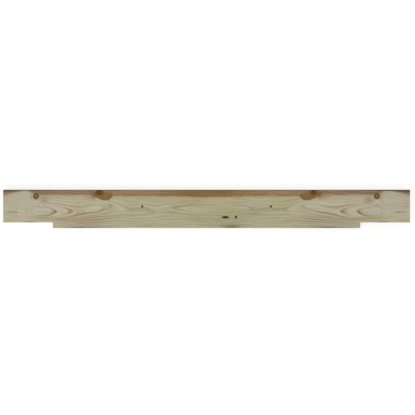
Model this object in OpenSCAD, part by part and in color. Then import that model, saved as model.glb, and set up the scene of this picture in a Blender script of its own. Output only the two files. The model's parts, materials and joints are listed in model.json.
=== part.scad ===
// Treated softwood plank, notched at both ends
//
// A planed board lying flat on its broad face. X runs along the grain, Y across the broad face
// and Z up through the thickness. The origin is the middle of the face that it lies on.
// Each end has a shallow notch sawn out of its lower (-Y) corner, through the whole thickness.

/* [Plank] */
// Length along the grain, end to end
plank_length = 1800; // [600:1:4800]
// Width of the broad face, edge to edge
plank_width = 170; // [70:1:300]
// Thickness between the two broad faces
plank_thickness = 45; // [16:1:100]
// Radius that the planer leaves on the four long arrises
arris_radius = 3; // [0.5:0.5:6]

/* [Notches] */
// Length of each notch, from the end of the plank to its shoulder
notch_length = 220; // [20:1:280]
// Depth of each notch, from the lower edge to its seat
notch_depth = 25; // [5:1:60]

/* [Hidden] */
$fn = 48;

wood_colour = [0.69, 0.66, 0.54];

// How far the saw passes beyond the wood when it cuts a notch
saw_overrun = 5;

// Rectangle with rounded corners, centred on the origin
module rounded_rectangle(width, height, radius) {
    square([width - 2 * radius, height], center = true);
    square([width, height - 2 * radius], center = true);
    for (side_x = [-1, 1], side_y = [-1, 1])
        translate([side_x * (width / 2 - radius), side_y * (height / 2 - radius)])
            circle(r = radius);
}

// The board as it leaves the planer: its section swept along the grain
module planed_board() {
    translate([0, 0, plank_thickness / 2])
        rotate([90, 0, 90])
            linear_extrude(height = plank_length, center = true)
                rounded_rectangle(plank_width, plank_thickness, arris_radius);
}

// The block of waste that the saw takes out of the lower right corner
module notch_waste() {
    translate([plank_length / 2 - notch_length, -plank_width / 2 - saw_overrun, -saw_overrun])
        cube([
            notch_length + saw_overrun,
            notch_depth + saw_overrun,
            plank_thickness + 2 * saw_overrun
        ]);
}

// The finished plank, notched alike at its two ends
module plank() {
    color(wood_colour)
        difference() {
            planed_board();
            notch_waste();
            mirror([1, 0, 0]) notch_waste();
        }
}

plank();
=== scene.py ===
"""Dresses the notched softwood plank: its grain, knots, saw marks and relief, the light and the camera.

Lengths are in millimetres until they reach Blender, which takes metres. X runs along the grain, Y across
the broad face and Z up through the thickness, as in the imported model.
"""
import json
import math
from collections import namedtuple

import bmesh
import bpy
import numpy as np
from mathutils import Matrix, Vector


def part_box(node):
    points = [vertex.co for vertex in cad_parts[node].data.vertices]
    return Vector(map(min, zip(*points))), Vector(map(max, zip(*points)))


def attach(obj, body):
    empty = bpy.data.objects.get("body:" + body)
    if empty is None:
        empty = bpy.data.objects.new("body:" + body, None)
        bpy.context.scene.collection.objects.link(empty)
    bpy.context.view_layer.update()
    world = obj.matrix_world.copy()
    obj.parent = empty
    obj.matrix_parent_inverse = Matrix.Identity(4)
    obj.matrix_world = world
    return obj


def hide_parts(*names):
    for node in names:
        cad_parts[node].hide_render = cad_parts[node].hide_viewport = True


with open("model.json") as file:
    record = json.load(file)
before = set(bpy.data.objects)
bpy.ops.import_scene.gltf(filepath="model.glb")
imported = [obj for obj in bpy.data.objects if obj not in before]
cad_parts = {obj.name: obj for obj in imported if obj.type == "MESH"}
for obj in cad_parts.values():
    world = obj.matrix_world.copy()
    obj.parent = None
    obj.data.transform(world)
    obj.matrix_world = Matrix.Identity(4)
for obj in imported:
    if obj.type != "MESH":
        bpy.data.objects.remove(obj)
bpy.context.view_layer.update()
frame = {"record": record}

MM = 0.001

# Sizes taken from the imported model
low_corner, high_corner = (np.array(corner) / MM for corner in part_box("plank"))
LENGTH, WIDTH, THICKNESS = (float(size) for size in high_corner - low_corner)
HALF_LENGTH = LENGTH / 2
HALF_WIDTH = WIDTH / 2
HALF_THICKNESS = THICKNESS / 2
mounts = {mount["name"]: np.array(mount["pos_m"]) / MM for mount in frame["record"]["mounts"]}
SHOULDER_X = float(mounts["right_notch_shoulder"][0])
SEAT_Y = float(mounts["right_notch_seat"][1])

# Radius that the planer leaves on the long arrises
ARRIS_RADIUS = 3.0

# A rise grows from nothing at its start to its full amount at its end, and keeps that beyond. Both places are
# distances from the middle of the plank.
Rise = namedtuple("Rise", "amount start end")

# A spot has its full amount at one place on both halves, and fades out along and across the plank
Spot = namedtuple("Spot", "from_middle y along across amount")

# Year rings, counted outward from the pith. Each of the first years adds the same area of wood, the later
# ones the same width, so the rings are widest by the pith.
RING_AREA = 600.0
RING_WIDTH = 8.3
EVEN_YEARS = 5

# How far the rings wander on a small scale
WAVINESS = 0.7
WAVY_SPOTS = [Spot(745, -10, 55, 40, 1.8)]

# Square of the pith's depth under the upper face. It is least in the ovals by the two ends.
PITH_SQUARE = 120.0
PITH_SQUARE_RISES = [
    Rise(2400.0, 750.0, 870.0),
    Rise(465.0, 709.0, 658.0),
    Rise(455.0, 664.0, 600.0),
    Rise(250.0, 616.0, 564.0),
    Rise(170.0, 590.0, 520.0),
    Rise(900.0, 510.0, 330.0),
    Rise(260.0, 275.0, 215.0),
]

# The long lens of year lines right of mid-length, where the pith comes nearer again
LENS_X = 35.0
LENS_HALF_LENGTH = 275.0
LENS_CORE = 40.0
LENS_SQUARE = 600.0

# Where the pith runs across the width of the plank. The rings bend towards the knots on either side.
PITH_Y = -10.0
PITH_SHIFTS = [
    Rise(11.0, 600.0, 470.0),
    Rise(-6.0, 390.0, 330.0),
    Rise(8.0, 240.0, 170.0),
]
PITH_BENDS = [
    Spot(440, 8, 50, 24, 10.0),
    Spot(705, 18, 28, 13, -5.0),
]

# Where, across the upper face, the brown wood of the bark side begins. Deeper down it begins farther out, by
# this share of the depth, and everywhere it wanders on this scale.
BARK_Y = 50.5
BARK_RISES = [
    Rise(6.5, -60.0, 260.0),
    Rise(7.0, 420.0, 560.0),
    Rise(9.0, 740.0, 840.0),
    Rise(-10.0, 850.0, 900.0),
]
BARK_LEAN = 0.25
BARK_WANDER = 11.0

# Distances from that line between which the brown wood sets in. Its edge starts farther in by the softening
# towards the ends, and a fringe before it has a share of the colour.
BARK_EDGE = (-5.0, 7.0)
BARK_SOFTENING = 5.0
BARK_FRINGE = (-22.0, -2.0)
FRINGE_SHARE = 0.4

# A pale gap in the brown wood near each end
GAP_X = 805.0
GAP_REACH = 30.0
GAP_WIDTH = 26.0

# A knot is a branch that comes out through the upper face and leans away below it, and deep is how far down
# it goes. A paired knot stands at the same place from the middle on both halves. Its rings flow round it:
# drop is how far they give way beside it, and flow_along and flow_across how far out that shows.
Knot = namedtuple("Knot", "kind paired x y along across tilt lean_x lean_y deep drop flow_along flow_across")
RINGED_Y = 57
PAIRED_PIN_Y = 11
SINGLE_PIN_Y = -37
KNOTS = [
    Knot("ringed", True, 754, RINGED_Y, 13.0, 14.0, 0.0, 0.15, 0.3, 120.0, 30.0, 36.0, 30.0),
    Knot("edge", True, 455, 63, 42.0, 23.0, 0.2, -0.3, -0.1, 32.0, 8.0, 60.0, 40.0),
    Knot("pin", True, 285, PAIRED_PIN_Y, 5.0, 5.0, 0.0, 0.1, 0.2, 120.0, 1.0, 25.0, 13.0),
    Knot("pin", False, 83, SINGLE_PIN_Y, 14.5, 5.8, 0.0, 0.3, -0.2, 120.0, 4.0, 43.0, 15.0),
    Knot("pin", False, 130, SINGLE_PIN_Y + 0.5, 5.4, 6.4, 0.0, 0.1, -0.2, 120.0, 3.0, 22.0, 14.0),
]

# Shares of a branch's radius: how far its outline wanders, and how much thinner it is under the plank
KNOT_CROOK = 0.25
KNOT_TAPER = 0.45

# A seasoning check is a short crack along the grain, near each end. It opens and closes over its leads. Its
# line slopes a little and wanders in a wave, whose length is given for one radian.
CHECK_START = 826.0
CHECK_END = 884.0
CHECK_LEAD_IN = 22.0
CHECK_LEAD_OUT = 10.0
CHECK_Y = -15.2
CHECK_SLOPE = 0.02
CHECK_WANDER = 0.8
CHECK_WAVE = 9.0
CHECK_HALF_WIDTH = 0.6
CHECK_DEPTH = 5.0

# Heights: patches of colour and the check belong to the upper side and fade out from top to foot. The painted
# shade along the upper arris and the painted highlight along the lower one have a foot of their own.
STAIN_TOP = 42.0
STAIN_FOOT = 33.0
PAINTED_EDGE_FOOT = 38.5

# Painted shade along the upper edge, a dark band: its width, and what that gains in each of its two zones
PAINTED_SHADE_WIDTH = 4.0
PAINTED_SHADE_GAIN = 6.0

# Painted highlight along the lower edge: how far in it starts, where it is full, and its strength there
PAINTED_HIGHLIGHT_WIDTH = 4.0
PAINTED_HIGHLIGHT_FULL = 1.0
PAINTED_HIGHLIGHT_STRENGTH = 0.7

# Zones: distances from the middle of the plank where a change starts and where it is complete
PALE_ZONE = (200.0, 750.0)
LILAC_ZONE = (150.0, 400.0)
CALM_ZONE = (760.0, 820.0)
OLIVE_LINES_ZONE = (480.0, 410.0)
FAN_ZONE = (560.0, 480.0)
PINK_BARK_ZONE = (40.0, 300.0)
DULL_BARK_ZONE = (400.0, 560.0)
LIVELY_BARK_ZONE = (200.0, 450.0)
SOFT_BARK_ZONE = (300.0, 650.0)
# The painted shade along the upper arris widens in these two zones
PAINTED_SHADE_ZONE = (650.0, 800.0)
END_PAINTED_SHADE_ZONE = (810.0, 850.0)

# How far the mottle of the wood moves its pale zone, and the places across between which the bark turns pink
PALE_MOVE = 350.0
PINK_BARK_Y = (54.0, 68.0)

# Year lines: their strength, how much stronger a year may be by chance, and the faintest that one gets
LINE_STRENGTH = 0.21
LINE_CHANCE = 0.12
LINE_FAINTEST = 0.06

# The share of a year's growth at which its late wood starts. In the years listed, counted from 0 at the pith,
# it starts later by so much. The fan year's lines spread below the edge knots, and its late wood starts later
# only towards the middle of the plank.
LATE_START = 0.42
LATER_STARTS = {0: 0.2, 1: 0.14, 3: 0.36}
FAN_YEAR = 2
FAN_LATER = 0.28

# Late wood ends sharply, at the end of the year
LATE_END = 0.965

# A false ring is a faint line within the first year
FALSE_RING = 0.5
FALSE_RING_SEASON = 0.5
FALSE_RING_WIDTH = 0.06

# Shifts along the plank that keep one noise unlike another
CROOK_SHIFT = 558.0
TINT_SHIFT = 1275.0

# Depths of the relief
EARLY_WOOD_DEPTH = 0.1
PIN_DEPTH = 0.8
KNOT_GROOVE_DEPTH = 0.35
BRUISE_DEPTH = 0.9
SPLINTER_DEPTH = 0.5
SAWN_DEPTH = 0.25

# Distances from an arris and from the corner of an end, over which bruises and splinters set in
BRUISE_ZONE = (6.0, 2.0)
SPLINTER_ZONE = (1.6, 0.0)

# How much fibres, resin ducts, and a knot's own rings and checks lighten or darken the wood
FIBRE_SHADE = 0.32
DUCT_SHADE = 0.2
KNOT_RING_SHADE = 0.12
KNOT_CHECK_SHADE = 0.35

# How far the wave of a knot's own rings turns, in radians, over the knot's radius
KNOT_RING_TURN = 26.0

# Bump heights of fibres, ducts and late wood, and of the saw marks. The marks are a wave, whose length is
# given for one radian.
FINE_HEIGHT = 0.05
SAW_HEIGHT = 0.06
SAW_WAVE = 0.55

# Planed wood is matt, its late wood a little less so
ROUGHNESS = 0.74
LATE_SHEEN = 0.12
SPECULAR = 0.25

# A patch is a soft spot of another colour: a tint of the wood itself, or a stain on the surface
Patch = namedtuple("Patch", "paired x y along across strength colour")


def srgb(red, green, blue):
    """A display colour from 0 to 255 as the linear RGBA that Blender takes."""
    def linear(value):
        share = value / 255
        return share / 12.92 if share <= 0.04045 else ((share + 0.055) / 1.055) ** 2.4
    return (linear(red), linear(green), linear(blue), 1.0)


SAP_GREEN = srgb(175, 168, 133)
SAP_PALE = srgb(184, 176, 153)
SAP_SHADE = srgb(150, 141, 108)
SAP_BRIGHT = srgb(194, 187, 160)
SAP_LILAC = srgb(183, 175, 162)
SAP_YELLOW = srgb(172, 168, 120)
LATE_OLIVE = srgb(120, 105, 70)
LATE_ORANGE = srgb(148, 127, 93)
LATE_PLUM = srgb(112, 87, 62)
BARK_GOLD = srgb(132, 102, 60)
BARK_PINK = srgb(150, 122, 89)
BARK_DULL = srgb(138, 113, 85)
BARK_DARK = srgb(94, 68, 38)
BARK_LIGHT = srgb(168, 140, 102)
BARK_TAIL = srgb(178, 152, 109)
# Painted shade: the dark colour laid along the upper arris
ARRIS_PAINTED_SHADE = srgb(80, 64, 46)
# Painted highlight: the light grey laid along the lower arris
ARRIS_PAINTED_HIGHLIGHT = srgb(186, 185, 188)
END_EARLY = srgb(163, 151, 113)
END_LATE = srgb(108, 91, 58)
# Painted shade: the dark inside of the seasoning check
PAINTED_CRACK_SHADE = srgb(40, 32, 20)
OLIVE = srgb(112, 106, 66)
TAN = srgb(142, 122, 92)
WARM = srgb(194, 174, 138)
ROSE_TAN = srgb(168, 149, 121)
GREY_DIRT = srgb(92, 86, 76)
GREEN_MOTTLE = srgb(158, 154, 106)
PALE_TAN = srgb(176, 165, 142)
KNOT_RED = srgb(104, 60, 20)
KNOT_ORANGE = srgb(134, 100, 52)
KNOT_OLIVE = srgb(124, 100, 48)
KNOT_DARK = srgb(60, 38, 18)
KNOT_HALO = srgb(110, 82, 50)
RING_DARK = srgb(98, 80, 50)
RING_CENTRE = srgb(136, 117, 82)
PIN_DARK = srgb(42, 36, 12)
PIN_RIM = srgb(74, 64, 30)

TINTS = [
    Patch(False, 100, -44, 105, 38, 0.3, OLIVE),
    Patch(False, 40, 5, 120, 17, 0.45, GREEN_MOTTLE),
    Patch(True, 200, -46, 130, 26, 0.4, PALE_TAN),
    Patch(True, 515, -44, 110, 26, 0.6, ROSE_TAN),
    Patch(True, 630, -47, 70, 9, 0.5, TAN),
    Patch(True, 720, 46, 22, 20, 0.55, TAN),
    Patch(True, 520, 54, 30, 13, 0.5, TAN),
    Patch(True, 668, -28, 16, 7, 0.7, WARM),
    Patch(True, 594, -25, 16, 7, 0.5, WARM),
    Patch(True, 772, 56, 9, 14, 0.4, TAN),
    Patch(True, 730, -38, 42, 9, 0.85, GREEN_MOTTLE),
    Patch(True, 735, -10, 36, 12, 0.6, SAP_LILAC),
    Patch(True, 855, 5, 60, 70, 0.4, PALE_TAN),
    Patch(True, 575, 24, 80, 20, 0.3, SAP_BRIGHT),
    Patch(True, 385, 3, 30, 10, 0.5, SAP_LILAC),
    Patch(True, 455, 24, 22, 10, 0.6, SAP_LILAC),
    Patch(True, 200, 14, 60, 7, 0.4, SAP_LILAC),
]

STAINS = [
    Patch(False, 108, -80, 40, 9, 0.9, OLIVE),
    Patch(True, 540, -87, 100, 8, 0.9, GREY_DIRT),
    Patch(True, 780, -60, 24, 5, 0.9, GREY_DIRT),
]

# Where the year lines show more strongly or, below 0, more faintly
CONTRASTS = [
    Spot(690, -24, 26, 13, 0.75),
    Spot(664, -11, 15, 10, 0.5),
    Spot(604, -12, 28, 20, 0.65),
    Spot(500, -34, 70, 24, 0.5),
    Spot(645, 20, 30, 14, 0.28),
    Spot(722, 28, 22, 12, 0.25),
    Spot(436, 10, 36, 14, -0.12),
    Spot(485, 24, 40, 14, -0.25),
    Spot(375, 16, 40, 16, 0.15),
    Spot(615, -40, 40, 9, -0.25),
    Spot(520, 46, 60, 18, -0.25),
    Spot(200, 46, 240, 14, -0.25),
    Spot(840, 0, 60, 90, -0.3),
    Spot(120, -56, 190, 26, -0.15),
    Spot(90, 6, 140, 26, 0.08),
]


# Formulas made of nodes

class Wire:
    """A number in a node tree. Formulas join wires and plain numbers with + - * / as usual."""

    def __init__(self, tree, socket):
        self.tree = tree
        self.socket = socket

    def __add__(self, other):
        return math_node("ADD", self, other)

    __radd__ = __add__

    def __sub__(self, other):
        return math_node("SUBTRACT", self, other)

    def __rsub__(self, other):
        return math_node("SUBTRACT", other, self)

    def __mul__(self, other):
        return math_node("MULTIPLY", self, other)

    __rmul__ = __mul__

    def __truediv__(self, other):
        return math_node("DIVIDE", self, other)

    def __neg__(self):
        return math_node("MULTIPLY", self, -1.0)


def feed(tree, socket, value):
    """Links a wire to a socket, or writes a constant on it."""
    if isinstance(value, Wire):
        tree.links.new(value.socket, socket)
    else:
        socket.default_value = value


def math_node(operation, *values):
    """One Math node. At least one of the values is a wire."""
    tree = next(value.tree for value in values if isinstance(value, Wire))
    node = tree.nodes.new("ShaderNodeMath")
    node.operation = operation
    for socket, value in zip(node.inputs, values):
        feed(tree, socket, value)
    return Wire(tree, node.outputs[0])


def root(value):
    return math_node("SQRT", value)


def size_of(value):
    return math_node("ABSOLUTE", value)


def wave(value):
    return math_node("SINE", value)


def bell(*distances):
    """1 where all the distances are 0, falling smoothly to 0 beyond about 2."""
    squares = distances[0] * distances[0]
    for distance in distances[1:]:
        squares = squares + distance * distance
    return math_node("EXPONENT", -squares)


def ramp(value, start, end):
    """0 up to start, 1 from end, smooth between them. Falls where start is the higher."""
    node = value.tree.nodes.new("ShaderNodeMapRange")
    node.interpolation_type = "SMOOTHSTEP"
    for socket, number in zip(node.inputs, (value, start, end)):
        feed(value.tree, socket, number)
    return Wire(value.tree, node.outputs[0])


def rises_at(rises, from_middle):
    """What the rises come to at a place along the plank."""
    return sum(rise.amount * ramp(from_middle, rise.start, rise.end) for rise in rises)


def spots_at(spots, from_middle, y):
    """What the spots come to at a place on the plank."""
    return sum(
        spot.amount * bell((from_middle - spot.from_middle) / spot.along, (y - spot.y) / spot.across)
        for spot in spots
    )


def join_vector(x, y, z):
    node = x.tree.nodes.new("ShaderNodeCombineXYZ")
    for socket, number in zip(node.inputs, (x, y, z)):
        feed(x.tree, socket, number)
    return Wire(x.tree, node.outputs[0])


def split_vector(vector):
    node = vector.tree.nodes.new("ShaderNodeSeparateXYZ")
    feed(vector.tree, node.inputs[0], vector)
    return [Wire(vector.tree, output) for output in node.outputs]


def noise(x, y, z, detail=1.0, roughness=0.5):
    """Smooth noise about 0, mostly within 0.5 of it."""
    node = x.tree.nodes.new("ShaderNodeTexNoise")
    feed(x.tree, node.inputs["Vector"], join_vector(x, y, z))
    node.inputs["Scale"].default_value = 1.0
    node.inputs["Detail"].default_value = detail
    node.inputs["Roughness"].default_value = roughness
    return (Wire(x.tree, node.outputs[0]) - 0.5) * 2.0


def streaks(x, y, z, along, across, down=None, detail=1.0, roughness=0.5):
    """Noise in streaks about this long, wide and deep. They are as deep as wide where down isn't given."""
    return noise(x / along, y / across, z / (down or across), detail, roughness)


def dice(number):
    """A number from 0 to 1 that is the same for the same whole number."""
    node = number.tree.nodes.new("ShaderNodeTexWhiteNoise")
    node.noise_dimensions = "1D"
    feed(number.tree, node.inputs["W"], number)
    return Wire(number.tree, node.outputs["Value"])


def mix_colour(share, first, second):
    """Goes from the first colour to the second as share goes from 0 to 1."""
    tree = share.tree
    node = tree.nodes.new("ShaderNodeMix")
    node.data_type = "RGBA"
    named = {socket.identifier: socket for socket in node.inputs}
    feed(tree, named["Factor_Float"], share)
    feed(tree, named["A_Color"], first)
    feed(tree, named["B_Color"], second)
    result = next(socket for socket in node.outputs if socket.identifier == "Result_Color")
    return Wire(tree, result)


def shade(colour, light):
    """A colour made lighter or darker by a factor."""
    node = colour.tree.nodes.new("ShaderNodeVectorMath")
    node.operation = "SCALE"
    feed(colour.tree, node.inputs[0], colour)
    feed(colour.tree, node.inputs["Scale"], light)
    return Wire(colour.tree, node.outputs[0])


# The wood as it grew

# What is known of a point: its place, the turn about the pith, the distance from the pith as the tree grew
# (age), the ring it lies in (year) and how far into that (season, 0 to 1), and the knots
Growth = namedtuple("Growth", "x y z from_middle turn age year season knots")

# Where a point lies from a branch's axis, in shares of the branch's size. Reach is the distance in all.
KnotField = namedtuple("KnotField", "knot reach along across down")

# How strongly the late wood of a year shows, and how much of it there is at a point
YearLines = namedtuple("YearLines", "strength late")


def pith_depth(x, from_middle):
    """How far the pith lies under the upper face."""
    lens = LENS_SQUARE * ramp(size_of(x - LENS_X), LENS_HALF_LENGTH, LENS_CORE)
    return root(PITH_SQUARE + rises_at(PITH_SQUARE_RISES, from_middle) - lens)


def pith_line(from_middle, y):
    """Where the pith runs across the width of the plank, for the rings at a point."""
    return PITH_Y + rises_at(PITH_SHIFTS, from_middle) + spots_at(PITH_BENDS, from_middle, y)


def bark_line(from_middle, z):
    """Where the brown wood of the bark side begins. The pale gap in it is only skin deep."""
    gap = GAP_WIDTH * bell((from_middle - GAP_X) / GAP_REACH) * ramp(z, STAIN_FOOT, THICKNESS)
    return BARK_Y + rises_at(BARK_RISES, from_middle) + gap + BARK_LEAN * (THICKNESS - z)


def half_or_whole(mark, x, from_middle):
    """The place along the plank that a knot or patch is measured by."""
    return from_middle if mark.paired else x


def knot_field(knot, x, y, z, from_middle, crook_x, crook_y):
    """Where a point lies from a branch's axis: reach is 1 on the outside of the branch."""
    down = THICKNESS - z
    beside = half_or_whole(knot, x, from_middle) - knot.x + knot.lean_x * down
    beside = beside + KNOT_CROOK * knot.along * crook_x
    above = y - knot.y + knot.lean_y * down + KNOT_CROOK * knot.across * crook_y
    size = 1.0 - down * (KNOT_TAPER / THICKNESS)
    along = (beside * math.cos(knot.tilt) + above * math.sin(knot.tilt)) / (size * knot.along)
    across = (above * math.cos(knot.tilt) - beside * math.sin(knot.tilt)) / (size * knot.across)
    sunk = down / knot.deep
    return KnotField(knot, root(along * along + across * across + sunk * sunk), along, across, sunk)


def is_year(year, which):
    """1 in the ring of this year, next to 0 in the others."""
    return bell((year - which) / 0.4)


def grow(x, y, z):
    """The growth rings and knots at a point of the plank."""
    from_middle = size_of(x)
    slow = streaks(x, y, z, along=300.0, across=75.0)
    quick = streaks(x, y, z, along=60.0, across=14.0, detail=2.0)
    depth = z - THICKNESS + pith_depth(x, from_middle)
    side = y - pith_line(from_middle, y)
    waviness = WAVINESS + spots_at(WAVY_SPOTS, from_middle, y)
    age = root(depth * depth + side * side) + slow + waviness * quick
    crook_x = streaks(x, y, z, along=18.0, across=18.0, detail=2.0)
    crook_y = streaks(x + CROOK_SHIFT, y, z, along=18.0, across=18.0, detail=2.0)
    knots = [knot_field(knot, x, y, z, from_middle, crook_x, crook_y) for knot in KNOTS]
    for field in knots:
        knot = field.knot
        flow_along = field.along * (knot.along / knot.flow_along)
        flow_across = field.across * (knot.across / knot.flow_across)
        age = age - knot.drop * bell(flow_along, flow_across)
    young = math_node("MINIMUM", age, math.sqrt(EVEN_YEARS * RING_AREA))
    ring = young * young / RING_AREA + (age - young) / RING_WIDTH
    turn = math_node("ARCTAN2", depth, side)
    year = math_node("FLOOR", ring)
    season = math_node("FRACT", ring)
    return Growth(x, y, z, from_middle, turn, age, year, season, knots)


def year_lines(growth):
    """How strongly the late wood of each year shows, and how much of it there is at a point."""
    year, season = growth.year, growth.season
    strength = LINE_STRENGTH + LINE_CHANCE * dice(year)
    strength = strength + spots_at(CONTRASTS, growth.from_middle, growth.y)
    strength = math_node("MAXIMUM", strength, LINE_FAINTEST)
    onset = LATE_START
    for which, later in LATER_STARTS.items():
        onset = onset + later * is_year(year, which)
    onset = onset + FAN_LATER * is_year(year, FAN_YEAR) * ramp(growth.from_middle, *FAN_ZONE)
    late = ramp(season, onset, onset * 0.5 + 0.5) * ramp(season, 1.0, LATE_END)
    false_ring = FALSE_RING * bell((season - FALSE_RING_SEASON) / FALSE_RING_WIDTH) * is_year(year, 0)
    return YearLines(strength, (late + false_ring) * strength)


def fibre_line(growth):
    """The same all along a fibre. Fibres run along the plank and part round its knots."""
    line = growth.y
    for field in growth.knots:
        nearness = math_node("MAXIMUM", field.reach * field.reach, 1.0)
        line = line - field.across * field.knot.across / nearness
    return line


def bark_share(growth):
    """How far a point belongs to the brown wood of the bark side."""
    x, y, z = growth.x, growth.y, growth.z
    ragged = streaks(x, y, z, along=70.0, across=9.0, detail=4.0, roughness=0.7)
    beyond = y - bark_line(growth.from_middle, z) + BARK_WANDER * ragged
    edge_start, edge_end = BARK_EDGE
    edge_start = edge_start - BARK_SOFTENING * ramp(growth.from_middle, *SOFT_BARK_ZONE)
    edge = ramp(beyond, edge_start, edge_end)
    fringe = ramp(beyond, *BARK_FRINGE)
    return (1.0 - FRINGE_SHARE) * edge + FRINGE_SHARE * fringe


def seasoning_check(growth):
    """1 in the middle of the crack near each end, 0 beside it."""
    taper = ramp(growth.from_middle, CHECK_START, CHECK_START + CHECK_LEAD_IN)
    taper = taper * ramp(growth.from_middle, CHECK_END, CHECK_END - CHECK_LEAD_OUT)
    line = CHECK_Y + CHECK_WANDER * wave(growth.from_middle / CHECK_WAVE)
    line = line + CHECK_SLOPE * (growth.from_middle - CHECK_START)
    return bell((growth.y - line) / CHECK_HALF_WIDTH) * taper * ramp(growth.z, STAIN_FOOT, STAIN_TOP)


def cut_share(facing):
    """1 on a surface that is cut across the grain, 0 on one along it."""
    return ramp(size_of(facing[0]), 0.6, 0.8)


# The wood's finish

def sapwood(growth, lines):
    """Colour of the pale wood, with its year lines."""
    x, y, z = growth.x, growth.y, growth.z
    mottle = streaks(x, y, z, along=130.0, across=28.0, detail=2.0)
    paleness = ramp(growth.from_middle + PALE_MOVE * mottle, *PALE_ZONE)
    early = mix_colour(paleness, SAP_GREEN, SAP_PALE)
    tint = streaks(x + TINT_SHIFT, y, z, along=75.0, across=24.0)
    lilac = 0.4 + 0.35 * ramp(growth.from_middle, *LILAC_ZONE)
    early = mix_colour(ramp(tint, 0.05, 0.5) * lilac, early, SAP_LILAC)
    early = mix_colour(ramp(tint, -0.05, -0.5) * 0.6, early, SAP_YELLOW)
    band = noise(x / 160.0, growth.age / 4.0 + y / 30.0, z / 9.0, detail=3.0, roughness=0.6)
    banding = 0.75 - 0.4 * ramp(growth.from_middle, *CALM_ZONE)
    early = mix_colour(ramp(band, -0.05, 0.5) * banding, early, SAP_SHADE)
    early = mix_colour(ramp(band, 0.05, -0.5) * banding, early, SAP_BRIGHT)
    early = with_patches(growth, early, TINTS)
    rim = ramp(growth.season, 0.3, 0.0) * ramp(lines.strength, 0.4, 0.9)
    early = mix_colour(rim * 0.8, early, SAP_BRIGHT)
    late = mix_colour(is_year(growth.year, 1), LATE_PLUM, LATE_ORANGE)
    olive = is_year(growth.year, 0) + ramp(growth.from_middle, *OLIVE_LINES_ZONE)
    late = mix_colour(olive, late, LATE_OLIVE)
    return mix_colour(lines.late, early, late)


def bark_side(growth, share):
    """Colour of the brown wood along the upper edge."""
    x, y, z = growth.x, growth.y, growth.z
    pinkness = ramp(growth.from_middle, *PINK_BARK_ZONE) * ramp(y, *PINK_BARK_Y)
    bark = mix_colour(pinkness, BARK_GOLD, BARK_PINK)
    bark = mix_colour(ramp(growth.from_middle, *DULL_BARK_ZONE), bark, BARK_DULL)
    streak = streaks(x, y, z, along=160.0, across=3.0, detail=3.0, roughness=0.6)
    bark = mix_colour(ramp(streak, 0.0, 0.5) * 0.8, bark, BARK_DARK)
    bark = mix_colour(ramp(streak, -0.1, -0.5) * 0.7, bark, BARK_LIGHT)
    lively = 0.2 + 0.25 * ramp(growth.from_middle, *LIVELY_BARK_ZONE)
    bark = shade(bark, 1.0 + lively * streaks(x, y, z, along=45.0, across=6.0, detail=2.0))
    return mix_colour(ramp(share, 0.75, 0.2), bark, BARK_TAIL)


def clear_wood(growth, lines):
    """Colour of the long-grain wood between the knots, with painted shade and highlight on the arrises."""
    x, y, z = growth.x, growth.y, growth.z
    share = bark_share(growth)
    wood = mix_colour(share, sapwood(growth, lines), bark_side(growth, share))
    # Painted shade: a dark, patchy band along the upper arris, wider towards the ends
    patchy = 1.0 + 0.6 * streaks(x, y, z, along=60.0, across=4.0)
    width = PAINTED_SHADE_WIDTH + PAINTED_SHADE_GAIN * ramp(growth.from_middle, *PAINTED_SHADE_ZONE)
    width = width + PAINTED_SHADE_GAIN * ramp(growth.from_middle, *END_PAINTED_SHADE_ZONE)
    above = ramp(z, PAINTED_EDGE_FOOT, STAIN_TOP)
    wood = mix_colour(ramp(y, HALF_WIDTH - width, HALF_WIDTH) * patchy * above, wood, ARRIS_PAINTED_SHADE)
    # Painted highlight: a light grey line along the lower arris
    lit_arris = ramp(y, PAINTED_HIGHLIGHT_WIDTH - HALF_WIDTH, PAINTED_HIGHLIGHT_FULL - HALF_WIDTH)
    return mix_colour(lit_arris * PAINTED_HIGHLIGHT_STRENGTH * above, wood, ARRIS_PAINTED_HIGHLIGHT)


def with_patches(growth, wood, patches):
    """Lays soft patches of other colours over the wood."""
    blotch = 1.0 + 0.8 * streaks(growth.x, growth.y, growth.z, along=16.0, across=7.0, detail=3.0)
    blotch = blotch * ramp(growth.z, STAIN_FOOT, STAIN_TOP)
    for patch in patches:
        beside = (half_or_whole(patch, growth.x, growth.from_middle) - patch.x) / patch.along
        spot = bell(beside, (growth.y - patch.y) / patch.across)
        wood = mix_colour(spot * blotch * patch.strength, wood, patch.colour)
    return wood


def knot_lines(field):
    """Light and dark of a knot's own rings and of the fine checks that run out from its middle."""
    wobble = 3.0 * noise(field.along * 2.0, field.across * 2.0, field.reach)
    ring = wave(field.reach * KNOT_RING_TURN + wobble)
    turn = math_node("ARCTAN2", field.across, field.along)
    spoke = ramp(noise(turn * 4.0, field.reach * 0.8, field.reach * 0.1, detail=2.0), 0.22, 0.4)
    return 1.0 + KNOT_RING_SHADE * ring - KNOT_CHECK_SHADE * spoke * ramp(field.reach, 0.1, 0.4)


def pin_knot(field, wood):
    """A small dark knot in a slightly darker ring of wood."""
    wood = mix_colour(ramp(field.reach, 2.0, 1.0) * 0.15, wood, LATE_OLIVE)
    colour = mix_colour(ramp(field.reach, 0.2, 1.0), PIN_DARK, PIN_RIM)
    return mix_colour(ramp(field.reach, 1.06, 0.92), wood, shade(colour, knot_lines(field)))


def ringed_knot(field, wood):
    """A round knot with a dark ring about a paler middle."""
    wood = mix_colour(ramp(field.reach, 1.7, 1.0) * 0.35, wood, TAN)
    colour = mix_colour(ramp(field.reach, 0.12, 0.5), RING_CENTRE, RING_DARK)
    return mix_colour(ramp(field.reach, 1.08, 0.96), wood, shade(colour, knot_lines(field)))


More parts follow.
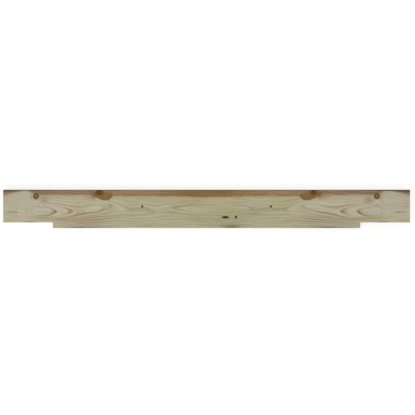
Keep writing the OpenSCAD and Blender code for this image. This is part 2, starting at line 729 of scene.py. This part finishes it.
# Areas of the edge knot: the middle and the reach of each, along and across, in shares of the knot's size
Area = namedtuple("Area", "along across reach_along reach_across")
ORANGE_AREA = Area(0.5, -0.7, 0.4, 0.6)
TIP_AREA = Area(-0.85, 0.0, 0.3, 0.5)
HEART_AREA = Area(0.52, 0.25, 0.5, 0.65)
CORE_AREA = Area(0.6, 0.75, 0.34, 0.33)
CORE_DEPTH = 0.5
OVERGROWN_AREA = Area(-0.5, 0.95, 0.4, 0.55)
FLANK_AREA = Area(1.02, -0.45, 0.3, 0.65)


def from_area(field, area):
    """How far a point lies from the middle of an area, along and across, in reaches of the area."""
    along = (field.along - area.along) / area.reach_along
    across = (field.across - area.across) / area.reach_across
    return along, across


def edge_knot(field, wood):
    """The big knot on the upper edge: olive, with a red heart, a dark core on the arris and a brown flank."""
    colour = mix_colour(bell(*from_area(field, ORANGE_AREA)), KNOT_OLIVE, KNOT_ORANGE)
    colour = mix_colour(bell(*from_area(field, TIP_AREA)) * 0.5, colour, KNOT_HALO)
    heart_along, heart_across = from_area(field, HEART_AREA)
    heart = root(heart_along * heart_along + heart_across * heart_across)
    colour = mix_colour(ramp(heart, 1.3, 0.5), colour, KNOT_RED)
    core = bell(*from_area(field, CORE_AREA), field.down / CORE_DEPTH)
    colour = mix_colour(core, colour, KNOT_DARK)
    overgrown = bell(*from_area(field, OVERGROWN_AREA))
    cover = ramp(field.reach, 1.1, 0.92) * (1.0 - overgrown)
    wood = mix_colour(cover, wood, shade(colour, knot_lines(field)))
    return mix_colour(bell(*from_area(field, FLANK_AREA)) * 0.8, wood, KNOT_HALO)


KNOT_KINDS = {"pin": pin_knot, "ringed": ringed_knot, "edge": edge_knot}


def with_knots(growth, wood):
    """Paints the knots over the clear wood."""
    for field in growth.knots:
        wood = KNOT_KINDS[field.knot.kind](field, wood)
    return wood


def end_grain(growth):
    """Colour of the wood where it is cut across."""
    crisp = ramp(growth.season, 0.45, 0.95) * ramp(growth.season, 1.0, 0.97)
    sap = mix_colour(crisp, END_EARLY, END_LATE)
    sap = mix_colour(bark_share(growth) * 0.6, sap, BARK_DARK)
    rays = noise(growth.turn * 50.0, growth.age / 9.0, growth.x / 9.0)
    return shade(sap, 1.0 + 0.25 * rays)


def softwood_material():
    """Planed, pressure-treated softwood."""
    material = bpy.data.materials.new("treated_softwood_grain")
    material.use_nodes = True
    tree = material.node_tree
    shader = tree.nodes["Principled BSDF"]
    place = tree.nodes.new("ShaderNodeTexCoord")
    x, y, z = (number / MM for number in split_vector(Wire(tree, place.outputs["Object"])))
    cut_across = cut_share(split_vector(Wire(tree, place.outputs["Normal"])))

    growth = grow(x, y, z)
    lines = year_lines(growth)
    colour = with_patches(growth, clear_wood(growth, lines), STAINS)
    colour = with_knots(growth, colour)
    colour = mix_colour(cut_across, colour, end_grain(growth))
    # The check's dark inside is painted shade, laid over its carved groove
    colour = mix_colour(seasoning_check(growth), colour, PAINTED_CRACK_SHADE)
    strand = fibre_line(growth)
    fibre = streaks(x, strand, z, along=60.0, across=1.6, down=2.0, detail=4.0, roughness=0.7)
    ducts = ramp(streaks(x, strand, z, along=9.0, across=0.7, down=0.8), 0.3, 0.5)
    light = 1.0 + FIBRE_SHADE * fibre - DUCT_SHADE * ducts
    feed(tree, shader.inputs["Base Color"], shade(colour, light))
    feed(tree, shader.inputs["Roughness"], ROUGHNESS - LATE_SHEEN * lines.late)
    shader.inputs["Specular IOR Level"].default_value = SPECULAR

    saw = wave(y / SAW_WAVE + 2.0 * noise(y / 30.0, z / 30.0, x / 30.0)) * cut_across
    height = FINE_HEIGHT * (fibre + lines.late - ducts) + SAW_HEIGHT * saw
    bump = tree.nodes.new("ShaderNodeBump")
    bump.inputs["Strength"].default_value = 0.8
    bump.inputs["Distance"].default_value = MM
    feed(tree, bump.inputs["Height"], height)
    tree.links.new(bump.outputs["Normal"], shader.inputs["Normal"])
    return material


# The plank's mesh

# Spacing of the mesh: coarse on plain wood, fine by the corners, the check and the knots. It widens by this
# share of the distance from a fine spot.
COARSE_X = 8.0
COARSE_Y = 2.8
WIDENING = 0.3
CORNER_STEP = 0.7
CHECK_STEP = 0.5
PIN_STEP = 1.1
RINGED_STEP = 1.8

# Along the plank a knot has this many steps to its radius, if they don't get finer than the finest, and they
# reach this many radii
KNOT_STEPS = 7
KNOT_FINEST = 1.5
KNOT_MARGIN = 1.2

# Layers down the plank's sides, and angles of the points round an arris
LAYERS = 12
ARRIS_ANGLES = [0, 25, 50, 72, 90]

# Faces that meet at more than this angle, in degrees, keep a crisp edge
CRISP_ANGLE = 35

FineSpot = namedtuple("FineSpot", "middle reach step")


def stations(start, end, spots, coarse):
    """Places from start to end, close together by the fine spots and coarse elsewhere."""
    places = [start]
    while places[-1] < end:
        here = places[-1]
        steps = [spot.step + WIDENING * max(0.0, abs(here - spot.middle) - spot.reach) for spot in spots]
        places.append(here + min([coarse] + steps))
    places = np.array(places)
    return start + (places - start) * (end - start) / (places[-1] - start)


def chain(*runs):
    """Runs of stations that share their end places, as one."""
    return np.concatenate([run[:-1] for run in runs[:-1]] + [runs[-1]])


def mesh_columns():
    """Places along the plank where the mesh has points."""
    corners = (-HALF_LENGTH, -SHOULDER_X, SHOULDER_X, HALF_LENGTH)
    spots = [FineSpot(corner, 1.0, CORNER_STEP) for corner in corners]
    for knot in KNOTS:
        step = max(KNOT_FINEST, knot.along / KNOT_STEPS)
        for side in ((-1, 1) if knot.paired else (1,)):
            spots.append(FineSpot(side * knot.x, knot.along * KNOT_MARGIN, step))
    return chain(*(stations(start, end, spots, COARSE_X) for start, end in zip(corners, corners[1:])))


def mesh_rows():
    """Places across the plank where the mesh has points."""
    planed = HALF_WIDTH - ARRIS_RADIUS
    arc = planed + ARRIS_RADIUS * np.sin(np.radians(ARRIS_ANGLES))
    spots = [
        FineSpot(SEAT_Y, 1.0, CORNER_STEP),
        FineSpot(CHECK_Y, 2.0, CHECK_STEP),
        FineSpot(PAIRED_PIN_Y, 5.0, PIN_STEP),
        FineSpot(SINGLE_PIN_Y, 6.0, PIN_STEP),
        FineSpot(RINGED_Y, 14.0, RINGED_STEP),
    ]
    below = stations(-planed, SEAT_Y, spots, COARSE_Y)
    above = stations(SEAT_Y, planed, spots, COARSE_Y)
    return chain(-arc[::-1], below, above, arc)


def section_height(y):
    """Half the plank's thickness at a place across it, with the planer's eased arrises."""
    into_arris = np.clip(np.abs(y) - (HALF_WIDTH - ARRIS_RADIUS), 0, ARRIS_RADIUS)
    return HALF_THICKNESS - ARRIS_RADIUS + np.sqrt(ARRIS_RADIUS ** 2 - into_arris ** 2)


def plank_mesh():
    """A closed mesh of the plank, fine enough to carry the relief of its grain."""
    xs = mesh_columns()
    ys = mesh_rows()
    height = section_height(ys)
    middle_x = (xs[1:] + xs[:-1]) / 2
    middle_y = (ys[1:] + ys[:-1]) / 2
    wood = ~((np.abs(middle_x)[:, None] > SHOULDER_X) & (middle_y[None, :] < SEAT_Y))

    points = []
    numbers = {}

    def point(i, j, layer):
        """Number of the point at a place on the grid, from layer 0 on top to the last one underneath."""
        key = (i, j, layer)
        if key not in numbers:
            numbers[key] = len(points)
            level = HALF_THICKNESS + height[j] * (1 - 2 * layer / LAYERS)
            points.append((xs[i] * MM, ys[j] * MM, level * MM))
        return numbers[key]

    faces = []
    rims = set()
    for i in range(len(xs) - 1):
        for j in range(len(ys) - 1):
            if not wood[i, j]:
                continue
            square = [(i, j), (i + 1, j), (i + 1, j + 1), (i, j + 1)]
            faces.append([point(*corner, 0) for corner in square])
            faces.append([point(*corner, LAYERS) for corner in reversed(square)])
            for start, end in zip(square, square[1:] + square[:1]):
                if (end, start) in rims:
                    rims.remove((end, start))
                else:
                    rims.add((start, end))
    for start, end in sorted(rims):
        for layer in range(LAYERS):
            faces.append([
                point(*start, layer), point(*start, layer + 1),
                point(*end, layer + 1), point(*end, layer),
            ])
    mesh = bpy.data.meshes.new("plank_timber")
    mesh.from_pydata(points, [], faces)
    mesh.validate()
    return mesh


def carved_depth(growth, cut_across):
    """How deep, in millimetres, the surface lies under the plain solid's. It never stands proud."""
    x, y, z = growth.x, growth.y, growth.z
    ridge = ramp(growth.season, 0.35, 0.9) * ramp(growth.season, 1.0, 0.85)
    depth = EARLY_WOOD_DEPTH * (1.0 - ridge) * (1.0 - cut_across)
    for field in growth.knots:
        if field.knot.kind == "pin":
            depth = depth + PIN_DEPTH * ramp(field.reach, 1.05, 0.6)
        else:
            depth = depth + KNOT_GROOVE_DEPTH * bell((field.reach - 1.0) / 0.12)
    depth = depth + CHECK_DEPTH * seasoning_check(growth)
    from_face = HALF_THICKNESS - size_of(z - HALF_THICKNESS)
    from_arris = (HALF_WIDTH - size_of(y)) + from_face
    bruise = ramp(streaks(x, y, z, along=40.0, across=14.0, detail=2.0), 0.1, 0.5)
    depth = depth + BRUISE_DEPTH * bruise * ramp(from_arris, *BRUISE_ZONE)
    from_end = (HALF_LENGTH - growth.from_middle) + from_face
    splinter = ramp(streaks(x, y, z, along=9.0, across=6.0, detail=2.0), -0.2, 0.5)
    depth = depth + SPLINTER_DEPTH * splinter * ramp(from_end, *SPLINTER_ZONE)
    rough = ramp(streaks(x, y, z, along=8.0, across=3.0, detail=2.0), -0.6, 0.6)
    return depth + SAWN_DEPTH * rough * cut_across


def carve(plank):
    """Presses the relief of the grain, knots and checks into the mesh."""
    tree = bpy.data.node_groups.new("plank_relief", "GeometryNodeTree")
    tree.interface.new_socket("Geometry", in_out="INPUT", socket_type="NodeSocketGeometry")
    tree.interface.new_socket("Geometry", in_out="OUTPUT", socket_type="NodeSocketGeometry")
    start = tree.nodes.new("NodeGroupInput")
    end = tree.nodes.new("NodeGroupOutput")
    position = tree.nodes.new("GeometryNodeInputPosition")
    normal = tree.nodes.new("GeometryNodeInputNormal")
    x, y, z = (number / MM for number in split_vector(Wire(tree, position.outputs[0])))
    facing = split_vector(Wire(tree, normal.outputs[0]))
    depth = carved_depth(grow(x, y, z), cut_share(facing)) * -MM
    move = tree.nodes.new("GeometryNodeSetPosition")
    offset = join_vector(*(axis * depth for axis in facing))
    tree.links.new(start.outputs[0], move.inputs["Geometry"])
    feed(tree, move.inputs["Offset"], offset)
    tree.links.new(move.outputs["Geometry"], end.inputs[0])
    modifier = plank.modifiers.new("relief", "NODES")
    modifier.node_group = tree
    evaluated = plank.evaluated_get(bpy.context.evaluated_depsgraph_get())
    carved = bpy.data.meshes.new_from_object(evaluated)
    plank.modifiers.clear()
    plank.data = carved


def sharpen_corners(mesh):
    """Smooth shading, with crisp edges where the saw left them."""
    shape = bmesh.new()
    shape.from_mesh(mesh)
    for face in shape.faces:
        face.smooth = True
    for edge in shape.edges:
        edge.smooth = edge.calc_face_angle(0.0) < math.radians(CRISP_ANGLE)
    shape.to_mesh(mesh)
    shape.free()


# Heights in the baked maps, as shares of the map: each side of the plank has a strip, the upper face the
# widest. The cut surfaces, two ends and two shoulders, lie side by side in the last one.
TOP_STRIP = (0.0, 0.4)
UNDER_STRIP = (0.41, 0.7)
UPPER_EDGE_STRIP = (0.71, 0.82)
LOWER_EDGE_STRIP = (0.83, 0.94)
CUT_STRIP = (0.95, 1.0)
CUTS = 4
MAP_GAP = 0.02


def lay_out_maps(mesh):
    """Gives the mesh its map layout. Each of its faces has four corners."""
    corners = np.empty(len(mesh.loops), dtype=np.int32)
    mesh.loops.foreach_get("vertex_index", corners)
    points = np.empty(len(mesh.vertices) * 3)
    mesh.vertices.foreach_get("co", points)
    x, y, z = (points.reshape(-1, 3)[corners] / MM).T
    normals = np.empty(len(mesh.polygons) * 3)
    mesh.polygons.foreach_get("normal", normals)
    facing = np.repeat(normals.reshape(-1, 3), 4, axis=0)
    main = np.abs(facing).argmax(axis=1)
    positive = facing[np.arange(len(main)), main] > 0

    along = (x + HALF_LENGTH) / LENGTH
    across = (y + HALF_WIDTH) / WIDTH
    up = z / THICKNESS
    notch_middle = (HALF_LENGTH + SHOULDER_X) / 2
    which_cut = np.searchsorted([-notch_middle, 0, notch_middle], x)
    cut_along = (which_cut + MAP_GAP + across * (1 - 2 * MAP_GAP)) / CUTS
    u = np.where(main == 0, cut_along, along)
    v = np.empty(len(main))
    sides = [
        (main == 0, up, CUT_STRIP),
        ((main == 1) & positive, up, UPPER_EDGE_STRIP),
        ((main == 1) & ~positive, up, LOWER_EDGE_STRIP),
        ((main == 2) & positive, across, TOP_STRIP),
        ((main == 2) & ~positive, across, UNDER_STRIP),
    ]
    for side, share, (low, high) in sides:
        v[side] = low + share[side] * (high - low)
    layer = mesh.uv_layers.new(name="OFBake")
    layer.data.foreach_set("uv", np.column_stack([u, v]).ravel())


def make_plank():
    """The plank as it shows, in place of the plain solid."""
    plank = bpy.data.objects.new("plank_timber", plank_mesh())
    bpy.context.scene.collection.objects.link(plank)
    carve(plank)
    sharpen_corners(plank.data)
    lay_out_maps(plank.data)
    plank.data.materials.append(softwood_material())
    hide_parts("plank")
    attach(plank, "root")


# The studio

# Half the floor's width, in metres, and how far it lies under the plank, in millimetres
FLOOR_REACH = 30.0
FLOOR_DROP = 0.3

# Grey that takes the shadow, glow that makes the floor white to the camera, and light from all around
FLOOR_GREY = 0.3
FLOOR_GLOW = 0.76
SURROUND_LIGHT = 0.6

# Square soft boxes, in metres and watts
Lamp = namedtuple("Lamp", "name place size power")
LAMPS = [
    Lamp("key", (-1.6, -1.8, 3.2), 2.4, 60),
    Lamp("fill", (2.2, 1.8, 2.6), 2.4, 25),
]

# Size of the picture and of the plank in it, in pixels, the place under the camera, and its lens
PICTURE_PIXELS = 415
PLANK_PIXELS = 407
VIEW_CENTRE = (4.1, 6.2)
CAMERA_LENS = 85


def make_floor():
    """A wide floor that shows white to the camera and keeps the plank's soft shadow."""
    corners = [(-1, -1), (1, -1), (1, 1), (-1, 1)]
    mesh = bpy.data.meshes.new("studio_floor")
    mesh.from_pydata([(x * FLOOR_REACH, y * FLOOR_REACH, 0) for x, y in corners], [], [(0, 1, 2, 3)])
    floor = bpy.data.objects.new("studio_floor", mesh)
    floor.location.z = -FLOOR_DROP * MM
    bpy.context.scene.collection.objects.link(floor)
    material = bpy.data.materials.new("studio_white")
    material.use_nodes = True
    tree = material.node_tree
    shader = tree.nodes["Principled BSDF"]
    shader.inputs["Base Color"].default_value = (FLOOR_GREY, FLOOR_GREY, FLOOR_GREY, 1)
    shader.inputs["Roughness"].default_value = 1.0
    shader.inputs["Specular IOR Level"].default_value = 0.0
    path = tree.nodes.new("ShaderNodeLightPath")
    seen = Wire(tree, path.outputs["Is Camera Ray"]) + Wire(tree, path.outputs["Is Glossy Ray"])
    shader.inputs["Emission Color"].default_value = (1, 1, 1, 1)
    feed(tree, shader.inputs["Emission Strength"], math_node("MINIMUM", seen, 1.0) * FLOOR_GLOW)
    mesh.materials.append(material)


def make_lamp(lamp):
    """A square soft box that points at the plank."""
    light = bpy.data.lights.new(lamp.name, "AREA")
    light.size = lamp.size
    light.energy = lamp.power
    holder = bpy.data.objects.new(lamp.name, light)
    holder.location = lamp.place
    holder.rotation_euler = (-Vector(lamp.place)).to_track_quat("-Z", "Y").to_euler()
    bpy.context.scene.collection.objects.link(holder)


def make_world():
    """An even white surround."""
    world = bpy.data.worlds.new("studio")
    world.use_nodes = True
    background = world.node_tree.nodes["Background"]
    background.inputs["Color"].default_value = (1, 1, 1, 1)
    background.inputs["Strength"].default_value = SURROUND_LIGHT
    bpy.context.scene.world = world


def make_camera():
    """Looks straight down, with the picture's top towards +Y."""
    camera = bpy.data.cameras.new("camera")
    camera.lens = CAMERA_LENS
    picture_width = LENGTH * PICTURE_PIXELS / PLANK_PIXELS
    distance = picture_width * camera.lens / camera.sensor_width
    holder = bpy.data.objects.new("camera", camera)
    holder.location = [length * MM for length in (*VIEW_CENTRE, THICKNESS + distance)]
    bpy.context.scene.collection.objects.link(holder)
    bpy.context.scene.camera = holder


make_camera()
make_plank()
make_floor()
make_world()
for lamp in LAMPS:
    make_lamp(lamp)
bpy.context.scene.view_settings.view_transform = "Standard"
